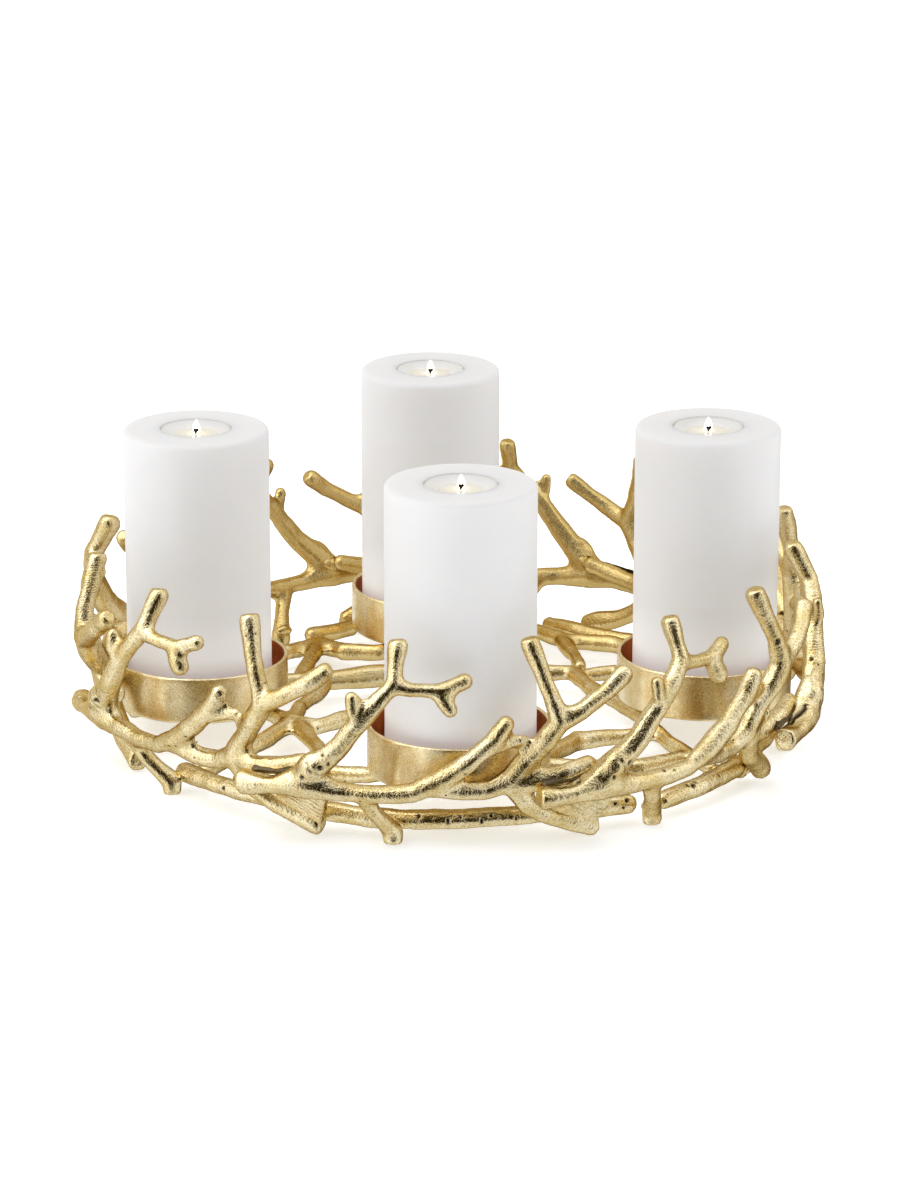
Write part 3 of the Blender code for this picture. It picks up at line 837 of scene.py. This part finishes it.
def make_tealight(side, wax, clear, pool_wax, firm_wax, burnt):
    """Clear cup, its wax with a molten pool, and the wick."""
    node = f"tealight_cup_{side}"
    centre, low, high = middle_of(node)
    radius = (high.x - low.x) / 2.0
    wall = wax.clear_wall
    inside = radius - wall
    base = low.z + wall
    rings = [(radius * 0.4, low.z), (radius - 0.0006, low.z), (radius, low.z + 0.0006)]
    rings += arc_rings(radius - wall / 2.0, high.z - wall / 2.0, wall / 2.0, 0.0, 180.0, 6)
    rings += [(inside, base), (radius * 0.4, base)]
    cup = raised(node + "_moulded", centre, rings, 96)
    dress(cup, clear, "clear_plastic", node)
    fill_node = f"tealight_wax_{side}"
    fill_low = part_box(fill_node)[0]
    edge = inside - wax.play
    level = high.z - wax.shore
    pool = high.z - wax.pool_depth
    wet = wax.pool_radius
    rings = [(edge * 0.4, fill_low.z), (edge, fill_low.z), (edge, level - 0.0008),
             (edge - 0.0008, level), (edge - 0.0022, level - 0.0002),
             (wet + 0.0010, pool + 0.0008), (wet, pool + 0.0002), (wet - 0.0006, pool),
             (wet * 0.5, pool), (0.0016, pool), (0.0012, pool + 0.0004)]
    fill = raised(fill_node + "_melted", centre, rings, 96)

    def is_firm(distance, height):
        return distance > wet + 0.0004

    add_second_finish(fill, centre, pool_wax, firm_wax, is_firm)
    dress(fill, pool_wax, "tealight_wax", fill_node)
    make_wick(side, centre, pool, high.z, burnt)


def make_wick(side, centre, pool, rim, burnt):
    """Short wick that curls forwards out of the flame, its burnt end forked."""
    node = f"wick_{side}"
    tip = rim - 0.0024
    path = ((0.0, 0.0, pool - 0.0006, 0.00060), (0.0, -0.0001, pool + 0.0012, 0.00065),
            (0.0001, -0.0008, tip + 0.0008, 0.00060), (0.0001, -0.0016, tip + 0.0009, 0.00075))
    balls = []
    for first, second in zip(path, path[1:]):
        for index in range(5):
            share = index / 5.0
            balls.append([a + (b - a) * share for a, b in zip(first, second)])
    balls.append((0.0001, -0.0019, tip + 0.0009, 0.00105))
    balls.append((-0.0006, -0.0020, tip + 0.0017, 0.00085))
    balls.append((0.0009, -0.0020, tip + 0.0017, 0.00095))
    piece = ball_chain(node + "_burnt", centre, balls, WICK_MESH)
    dress(piece, burnt, "charred_cotton", node)


def web_plate(corners, thickness):
    """Flat web between four corners, as a plane that is given its thickness."""
    bpy.ops.object.select_all(action="DESELECT")
    bpy.ops.mesh.primitive_plane_add(size=0.01)
    plate = bpy.context.active_object
    first, second, third, last = corners
    for vertex, corner in zip(plate.data.vertices, (first, second, last, third)):
        vertex.co = corner
    modify(plate, "SOLIDIFY", thickness=thickness, offset=0.0)
    return plate


def ball_chain(name, centre, balls, edge, plates=()):
    """One lump from overlapping balls and plates, melted together and smoothed."""
    parts = list(plates)
    for x, y, z, radius in balls:
        bpy.ops.object.select_all(action="DESELECT")
        place = (centre[0] + x, centre[1] + y, z)
        bpy.ops.mesh.primitive_ico_sphere_add(subdivisions=2, radius=radius, location=place)
        parts.append(bpy.context.active_object)
    bpy.ops.object.select_all(action="DESELECT")
    for part in parts:
        part.select_set(True)
    bpy.context.view_layer.objects.active = parts[0]
    bpy.ops.object.join()
    piece = bpy.context.active_object
    piece.name = name
    piece.data.name = name
    settle(piece)
    remesh(piece, edge)
    smooth(piece, 3)
    return piece


def make_flame(side, flames, material):
    """Slim flame above a wick, widest low down and pointed above."""
    centre, low, high = middle_of(f"tealight_cup_{side}")
    foot = high.z - flames.sink
    rings = []
    steps = 18
    for index in range(steps + 1):
        rise = index / steps
        swell = math.sin(math.pi * rise ** 0.70) ** 0.55 if 0.0 < rise < 1.0 else 0.0
        width = flames.width / 2.0 * max(swell * (1.0 - 0.35 * rise), 0.04)
        rings.append((width, foot + flames.height * rise))
    behind = (centre.x + 0.0002, centre.y + 0.0012)
    piece = raised(f"flame_{side}", behind, rings, 32)
    dress(piece, material, "tealight_wax")


def make_welds(metal, material):
    """Beads that join the castings to each other and to the bars and floor twigs, and the
    webs cast in the crotches, as one piece."""
    places = [(angle + turn, ring, height, half)
              for turn in TURNS for angle, ring, height, half in CASTING_WELDS]
    places += OTHER_WELDS
    balls = []
    for index, (angle, ring, height, half) in enumerate(places):
        for step in (-1.0, 0.0, 1.0):
            spread = math.degrees(half * 0.8 / ring) * step
            sway = 0.3 * half * math.sin(index * 2.4 + step)
            place = on_ring(angle + spread, ring + sway * 0.5, height + sway)
            balls.append((*place, half * (1.0 - 0.22 * abs(step))))
    plates = [web_plate(web_corners(number, corners), thickness)
              for corners, thickness, castings in WEBS for number in castings]
    piece = ball_chain("weld_beads", (0.0, 0.0), balls, BEAD_MESH, plates)
    dent(piece, "weld_skin", BEAD_PATCH, 2, metal.skin * 2.0)
    finish_webs(piece)
    dress(piece, material, "cast_gold")


def web_corners(number, corners):
    """Where the corners of a web stand on one of the castings."""
    return [on_ring(TURNS[number - 1] + angle, ring, height)
            for angle, ring, height in corners]


def place_on_web(points, corners):
    """Shares along and up a web for each point, the web's height and the way off it."""
    first, second, third, last = (np.array(corner) for corner in corners)
    along = second - first
    up = (last - first + third - second) / 2.0
    up -= along * (up @ along) / (along @ along)
    off = np.cross(along, up)
    off /= np.linalg.norm(off)
    away = points - first
    return (away @ along / (along @ along), away @ up / (up @ up), np.linalg.norm(up),
            np.abs(away @ off))


def finish_webs(piece):
    """Paints shade into the hollows between tails and roots, on the first webs, and gives the
    others, above the stumps, the lines of a wooden pattern, sunk and with painted shade in
    them."""
    points = read_points(piece)
    normals = read_normals(piece)
    marks = np.zeros(len(points))
    for index, (corners, thickness, castings) in enumerate(WEBS):
        hollow = index == 0
        reach = 0.8 if hollow else 0.6
        for number in castings:
            along, up, height, off = place_on_web(points, web_corners(number, corners))
            near = np.clip((thickness * 0.9 - off) / 0.0008, 0.0, 1.0)
            near *= (np.abs(along - 0.5) < 0.56) * (np.abs(up - 0.5) < reach)
            if hollow:
                # Painted shade in the crotch hollow
                marks = np.maximum(marks, near * np.clip(0.75 + 0.3 * up, 0.0, 1.0))
                continue
            sway = np.sin(7.0 * along + 5.0 * up) + 0.7 * np.sin(19.0 * along - 3.0 * up)
            line = 0.5 - 0.5 * np.cos(up * height / GRAIN_PITCH * 2.0 * math.pi + sway)
            patches = 0.55 + 0.45 * np.sin(11.0 * along + 9.0 * up)
            near *= line ** 4 * patches * (up > 0.22)
            points -= normals * (near * GRAIN_DEPTH)[:, None]
            # Painted shade in the sunk pattern lines
            marks = np.maximum(marks, near * 0.4)
    write_points(piece, points)
    mark(piece, "pit", marks)


def lay_floor(stage):
    """Square floor just below the feet, which the metal does not mirror."""
    bpy.ops.object.select_all(action="DESELECT")
    bpy.ops.mesh.primitive_grid_add(x_subdivisions=8, y_subdivisions=8,
                                    size=stage.floor_size, location=(0.0, 0.0, -0.0002))
    floor = bpy.context.active_object
    floor.name = "floor"
    settle(floor)
    floor.data.materials.append(pale_floor(stage))
    floor.visible_glossy = False


def light_tent(scene, stage):
    """Even soft light all round, and for what the metal mirrors a studio tent: bright
    panels above and at the sides, a warm dark behind below, and a narrow dark opening
    where the camera looks in."""
    world = bpy.data.worlds.new("tent")
    scene.world = world
    world.use_nodes = True
    tree = world.node_tree
    towards = add_node(tree, "ShaderNodeTexCoord").outputs["Generated"]
    axes = add_node(tree, "ShaderNodeSeparateXYZ", Vector=towards).outputs
    behind = range_of(tree, axes["Y"], 0.25, 0.88, 0.0, 1.0)
    low = range_of(tree, axes["Z"], 0.05, -0.25, 0.0, 1.0)
    below = range_of(tree, axes["Z"], 0.10, -0.40, 0.0, 1.0)
    light = blend_of(tree, low, stage.front_tone, stage.low_tone)
    light = blend_of(tree, behind, light, stage.back_tone)
    light = blend_of(tree, times(tree, below, behind), light, stage.under_tone)
    for azimuth, elevation, inner, outer, brightness in PANELS:
        turn = math.radians(azimuth)
        rise = math.radians(elevation)
        aim = add_node(tree, "ShaderNodeVectorMath", operation="DOT_PRODUCT")
        put(tree, aim.inputs[0], towards)
        put(tree, aim.inputs[1], (math.sin(turn) * math.cos(rise),
                                  -math.cos(turn) * math.cos(rise), math.sin(rise)))
        share = range_of(tree, aim.outputs["Value"], math.cos(math.radians(outer)),
                         math.cos(math.radians(inner)), 0.0, 1.0)
        glow = brightness * stage.tent
        light = blend_of(tree, share, light, (glow, 1.01 * glow, 1.04 * glow))
    turned = maths_of(tree, "ARCTAN2", axes["X"], times(tree, axes["Y"], -1.0))
    turned = maths_of(tree, "SUBTRACT", turned, stage.slot_turn)
    aside = maths_of(tree, "ABSOLUTE", turned, 1.0)
    narrow = range_of(tree, aside, stage.slot_width * 0.86, stage.slot_width * 1.06, 1.0, 0.0)
    lower = range_of(tree, axes["Z"], -0.75, -0.40, 0.0, 1.0)
    upper = range_of(tree, axes["Z"], 0.62, 0.86, 1.0, 0.0)
    slot = times(tree, times(tree, narrow, lower), upper)
    light = blend_of(tree, slot, light, stage.slot_tone)
    ahead = range_of(tree, axes["Y"], -0.15, -0.85, 0.0, 1.0)
    soft = blend_of(tree, ahead, stage.surround, stage.opening)
    ray = add_node(tree, "ShaderNodeLightPath")
    light = blend_of(tree, ray.outputs["Is Glossy Ray"], soft, light)
    put_all(tree, tree.nodes["Background"], Color=light, Strength=1.0)


def add_softboxes(stage):
    """Large soft light high on the left, and a weaker one on the right."""
    boxes = (
        ("key", (-1.3, -0.5, 2.0), 1.6, stage.key),
        ("fill", (1.8, 0.2, 1.2), 1.2, stage.key * 0.20),
    )
    for name, place, size, power in boxes:
        light = bpy.data.lights.new(name, "AREA")
        light.shape = "SQUARE"
        light.size = size
        light.energy = power
        lamp = bpy.data.objects.new(name, light)
        bpy.context.scene.collection.objects.link(lamp)
        lamp.location = place
        aim = Vector((0.0, 0.0, 0.08)) - Vector(place)
        lamp.rotation_euler = aim.to_track_quat("-Z", "Y").to_euler()


def aim_camera(scene, stage):
    """Long lens that looks slightly down at the middle of the wreath."""
    camera = bpy.data.cameras.new("camera")
    camera.sensor_width = SENSOR
    camera.lens = stage.focal_pixels / PHOTO_HEIGHT * SENSOR
    camera.clip_end = 50.0
    view = bpy.data.objects.new("camera", camera)
    scene.collection.objects.link(view)
    back = Vector((0.0, -math.cos(stage.elevation), math.sin(stage.elevation)))
    view.location = Vector(stage.target) + back * stage.distance
    view.rotation_euler = (math.radians(90.0) - stage.elevation, 0.0, 0.0)
    scene.camera = view


def length(name, description, default):
    """Setting in metres."""
    return FloatProperty(name=name, description=description, default=default,
                         unit="LENGTH", precision=5)


def tone(name, description, default):
    """Setting for a colour."""
    return FloatVectorProperty(name=name, description=description, default=default,
                               subtype="COLOR", size=3)


class WreathMetal(bpy.types.PropertyGroup):
    """Mesh, unevenness and tones of the cast twigs, bars and welds"""

    twig_mesh: length(
        "Twig mesh", "Edge length of the mesh on castings and floor twigs", 0.0009)
    bar_mesh: length("Bar mesh", "Edge length of the mesh on the lower bars", 0.0007)
    crotch: length("Crotch radius", "Radius of the inner corners where twigs meet", 0.0030)
    rounding: IntProperty(
        name="Rounding", description="How many times the surface is smoothed", default=4)
    swell: length("Swelling", "How much the thickness of a twig varies", 0.0018)
    fuller: length(
        "Fuller", "How far the surface stands out from the smoothed CAD twig", 0.0008)
    skin: length("Skin", "Depth of the small dents of the cast skin", 0.00028)
    rib_pitch: length("Rib pitch", "Distance between the notches on the ribbed stems", 0.0012)
    pale_gold: tone("Pale gold", "Lighter tone of the cast gold", (0.87, 0.76, 0.49))
    deep_gold: tone("Deep gold", "Darker tone of the cast gold", (0.75, 0.60, 0.30))
    # Painted shade: deeper gold for the castings at the back of the ring
    rear_shade_gold: tone("Back gold", "Deeper tone of the castings at the back", (0.63, 0.47, 0.19))
    # Painted shade in the low spots of the grain
    grain_shade_gold: tone(
        "Speckle gold", "Duller tone in the low spots of the grain", (0.52, 0.38, 0.12))


class WreathCups(bpy.types.PropertyGroup):
    """Walls and tones of the spun candle cups"""

    wall: length("Wall", "Thickness of the cup's wall", 0.0020)
    floor: length("Floor", "Thickness of the cup's floor", 0.0015)
    foot: length("Foot", "Radius of the edge between floor and wall", 0.0015)
    wobble: length("Wobble", "Unevenness of the spun wall", 0.00022)
    pale_gold: tone("Pale gold", "Lighter tone of the cups", (0.93, 0.80, 0.51))
    deep_gold: tone("Deep gold", "Darker tone of the cups", (0.80, 0.64, 0.33))
    # Painted reflection: tone of the upright bands on the cups
    reflection_band_gold: tone(
        "Band gold", "Browner tone of the upright bands on the cups", (0.66, 0.46, 0.20))
    # Painted reflection: the coppery tone inside stands for the gold walls mirrored in each
    # other
    inside: tone("Inside", "Coppery tone of the cups' insides", (0.62, 0.19, 0.035))


class WreathWax(bpy.types.PropertyGroup):
    """Pillar candles and the tealights in them"""

    rim: length("Rim", "Radius of the candle's upper edge", 0.0028)
    play: length("Play", "Gap round the tealight in its well", 0.00004)
    unevenness: length("Unevenness", "Faint waves of the candle's side", 0.00010)
    depth: length("Glow depth", "How far light sinks into the wax", 0.010)
    # Painted light: how far up and how bright the emission at the pillar's foot is
    painted_glow_reach: length("Glow reach", "How far above the cup the pillar's foot glows", 0.030)
    cup_painted_glow: tone("Cup glow", "Glow of the wax down by the cup", (0.19, 0.185, 0.185))
    pillar: tone("Pillar wax", "Colour of the pillar candles", (0.872, 0.868, 0.872))
    pillar_shade: tone(
        "Pillar shade", "Cloudier tone of the pillar candles", (0.855, 0.846, 0.846))
    clear_wall: length("Clear wall", "Wall of the clear tealight cup", 0.0005)
    shore: length("Shore", "Depth of the firm wax below the tealight's rim", 0.0005)
    pool_depth: length(
        "Pool depth", "Depth of the molten pool below the tealight's rim", 0.0036)
    pool_radius: length("Pool radius", "Radius of the molten pool", 0.0116)
    firm: tone("Firm wax", "Colour of the tealight's wax round the pool", (0.862, 0.845, 0.825))
    firm_shade: tone("Firm shade", "Cloudier tone of the firm wax", (0.845, 0.822, 0.795))
    pool: tone("Tealight wax", "Colour of the tealight's wax", (0.84, 0.815, 0.73))
    pool_shade: tone("Tealight shade", "Warmer tone of the tealight's wax", (0.82, 0.79, 0.69))


class WreathFlames(bpy.types.PropertyGroup):
    """The four flames"""

    height: length("Height", "Height of a flame", 0.0074)
    width: length("Width", "Greatest width of a flame", 0.0046)
    sink: length("Sink", "How far a flame starts below the tealight's rim", 0.0034)
    brightness: FloatProperty(
        name="Brightness", description="Emission strength of a flame", default=4.0)


class WreathStage(bpy.types.PropertyGroup):
    """Floor, light and camera"""

    floor: tone("Floor", "Colour of the floor", (0.97, 0.97, 0.97))
    floor_size: FloatProperty(
        name="Floor size", description="Side of the square floor", default=12.0, unit="LENGTH")
    floor_glow: FloatProperty(
        name="Floor glow", description="Light from the floor itself, as of a light table",
        default=0.50)
    surround: tone("Surround", "Even soft light all round the stage", (0.88, 0.88, 0.885))
    opening: tone(
        "Opening", "Weaker soft light from the open front of the tent", (0.34, 0.34, 0.34))
    tent: FloatProperty(
        name="Panels", description="Brightness of the panels that the metal mirrors",
        default=1.0)
    front_tone: tone("Front tone", "Light of the tent in front", (0.56, 0.51, 0.43))
    low_tone: tone("Low tone", "Light of the tent in front below", (0.84, 0.82, 0.77))
    back_tone: tone("Back tone", "Light of the tent behind", (0.72, 0.66, 0.54))
    under_tone: tone("Under tone", "Warm light from behind below", (0.18, 0.125, 0.048))
    slot_tone: tone(
        "Slot tone", "Dark warm tone of the opening in front", (0.026, 0.018, 0.004))
    slot_width: FloatProperty(
        name="Dark front", description="Half width of the dark opening in front",
        default=math.radians(34.0), subtype="ANGLE")
    slot_turn: FloatProperty(
        name="Turn of the dark front", description="How far right the dark opening stands",
        default=math.radians(5.0), subtype="ANGLE")
    key: FloatProperty(
        name="Key light", description="Power of the soft light above on the left",
        default=14.0, subtype="POWER")
    focal_pixels: FloatProperty(
        name="Focal length", description="Focal length in pixels of the 1200 pixel frame",
        default=4500.0)
    distance: FloatProperty(
        name="Distance", description="From the camera to the middle of the view",
        default=2.42, unit="LENGTH")
    elevation: FloatProperty(
        name="Elevation", description="Angle at which the camera looks down",
        default=math.radians(17.27), subtype="ANGLE")
    target: FloatVectorProperty(
        name="Target", description="Point in the middle of the view",
        default=(-0.00287, -0.00015, 0.073), subtype="XYZ", size=3, unit="LENGTH")


class WREATH_OT_castings(bpy.types.Operator):
    """Cast the eight branching castings in gold, with their cuts, nicks and notches"""

    bl_idname = "wreath.castings"
    bl_label = "Castings"

    def execute(self, context):
        metal = context.scene.wreath_metal
        gold = shared_gold(metal)
        for node, turn in zip(CASTINGS, TURNS):
            fuller = metal.fuller + FULLER_CASTINGS.get(node, 0.0)
            piece = cast_surface(node, metal.twig_mesh, fuller, metal, turn)
            if node in RIBS:
                mark_ribs(piece, turn, *RIBS[node])
            pit_surface(piece, node, turn)
            dress(piece, gold, "cast_gold", node)
        return {"FINISHED"}


class WREATH_OT_bars(bpy.types.Operator):
    """Cast the bars of the lower ring in gold, with blow holes in the front ones"""

    bl_idname = "wreath.bars"
    bl_label = "Lower bars"

    def execute(self, context):
        metal = context.scene.wreath_metal
        gold = shared_gold(metal)
        for node in BARS:
            piece = cast_surface(node, metal.bar_mesh, metal.fuller, metal)
            pit_surface(piece, node)
            dress(piece, gold, "cast_gold", node)
        return {"FINISHED"}


class WREATH_OT_floor_twigs(bpy.types.Operator):
    """Cast the forked floor twigs in gold"""

    bl_idname = "wreath.floor_twigs"
    bl_label = "Floor twigs"

    def execute(self, context):
        metal = context.scene.wreath_metal
        gold = shared_gold(metal)
        for node in FLOOR_TWIGS:
            piece = cast_surface(node, metal.twig_mesh, metal.fuller, metal)
            dress(piece, gold, "cast_gold", node)
        return {"FINISHED"}


class WREATH_OT_welds(bpy.types.Operator):
    """Add the weld beads that tie the ring together, and the webs in its crotches"""

    bl_idname = "wreath.welds"
    bl_label = "Welds"

    def execute(self, context):
        metal = context.scene.wreath_metal
        make_welds(metal, shared_gold(metal))
        return {"FINISHED"}


class WREATH_OT_cups(bpy.types.Operator):
    """Spin the four candle cups"""

    bl_idname = "wreath.cups"
    bl_label = "Candle cups"

    def execute(self, context):
        cups = context.scene.wreath_cups
        outer = cup_gold(cups)
        inner = cup_inside_reflection(cups)
        for side in SIDES:
            make_cup(side, cups, outer, inner)
        return {"FINISHED"}


class WREATH_OT_candles(bpy.types.Operator):
    """Pour the four pillar candles"""

    bl_idname = "wreath.candles"
    bl_label = "Pillar candles"

    def execute(self, context):
        wax = context.scene.wreath_wax
        material = wax_of("pillar_wax_white", wax.pillar, wax.pillar_shade, wax.depth,
                          roughness=0.45, coat=0.05, cup_painted_glow=wax.cup_painted_glow)
        for side in SIDES:
            make_candle(side, wax, material)
        return {"FINISHED"}


class WREATH_OT_tealights(bpy.types.Operator):
    """Set a clear tealight with its wax and wick in each candle"""

    bl_idname = "wreath.tealights"
    bl_label = "Tealights"

    def execute(self, context):
        wax = context.scene.wreath_wax
        clear = clear_plastic()
        pool_wax = wax_of("tealight_wax_ivory", wax.pool, wax.pool_shade, wax.depth,
                          roughness=0.22, coat=0.35)
        firm_wax = wax_of("tealight_wax_pale", wax.firm, wax.firm_shade, wax.depth,
                          roughness=0.30, coat=0.25)
        burnt = burnt_cotton()
        for side in SIDES:
            make_tealight(side, wax, clear, pool_wax, firm_wax, burnt)
        return {"FINISHED"}


class WREATH_OT_flames(bpy.types.Operator):
    """Light the four wicks"""

    bl_idname = "wreath.flames"
    bl_label = "Flames"

    def execute(self, context):
        flames = context.scene.wreath_flames
        glow = flame_light(flames)
        for side in SIDES:
            make_flame(side, flames, glow)
        return {"FINISHED"}


class WREATH_OT_stage(bpy.types.Operator):
    """Lay the floor and set up the soft light and the camera"""

    bl_idname = "wreath.stage"
    bl_label = "Stage"

    def execute(self, context):
        stage = context.scene.wreath_stage
        lay_floor(stage)
        light_tent(context.scene, stage)
        add_softboxes(stage)
        aim_camera(context.scene, stage)
        context.scene.view_settings.view_transform = "Standard"
        return {"FINISHED"}


class WREATH_PT_panel(bpy.types.Panel):
    bl_label = "Advent Wreath"
    bl_idname = "WREATH_PT_panel"
    bl_space_type = "VIEW_3D"
    bl_region_type = "UI"
    bl_category = "Advent Wreath"

    def draw(self, context):
        groups = (
            ("wreath_metal", ("castings", "bars", "floor_twigs", "welds")),
            ("wreath_cups", ("cups",)),
            ("wreath_wax", ("candles", "tealights")),
            ("wreath_flames", ("flames",)),
            ("wreath_stage", ("stage",)),
        )
        for settings_name, steps in groups:
            box = self.layout.box()
            settings = getattr(context.scene, settings_name)
            for key in settings.__annotations__:
                box.prop(settings, key)
            for step in steps:
                box.operator("wreath." + step)


SETTINGS = {
    "wreath_metal": WreathMetal,
    "wreath_cups": WreathCups,
    "wreath_wax": WreathWax,
    "wreath_flames": WreathFlames,
    "wreath_stage": WreathStage,
}
OPERATORS = (
    WREATH_OT_castings, WREATH_OT_bars, WREATH_OT_floor_twigs, WREATH_OT_welds,
    WREATH_OT_cups, WREATH_OT_candles, WREATH_OT_tealights, WREATH_OT_flames,
    WREATH_OT_stage,
)


def register():
    for group in SETTINGS.values():
        bpy.utils.register_class(group)
    for name, group in SETTINGS.items():
        setattr(bpy.types.Scene, name, PointerProperty(type=group))
    for operator in OPERATORS:
        bpy.utils.register_class(operator)
    bpy.utils.register_class(WREATH_PT_panel)


def unregister():
    bpy.utils.unregister_class(WREATH_PT_panel)
    for operator in reversed(OPERATORS):
        bpy.utils.unregister_class(operator)
    for name in SETTINGS:
        delattr(bpy.types.Scene, name)
    for group in reversed(SETTINGS.values()):
        bpy.utils.unregister_class(group)


def main():
    register()
    bpy.ops.wreath.castings()
    bpy.ops.wreath.bars()
    bpy.ops.wreath.floor_twigs()
    bpy.ops.wreath.welds()
    bpy.ops.wreath.cups()
    bpy.ops.wreath.candles()
    bpy.ops.wreath.tealights()
    bpy.ops.wreath.flames()
    bpy.ops.wreath.stage()


if __name__ == "__main__":
    main()
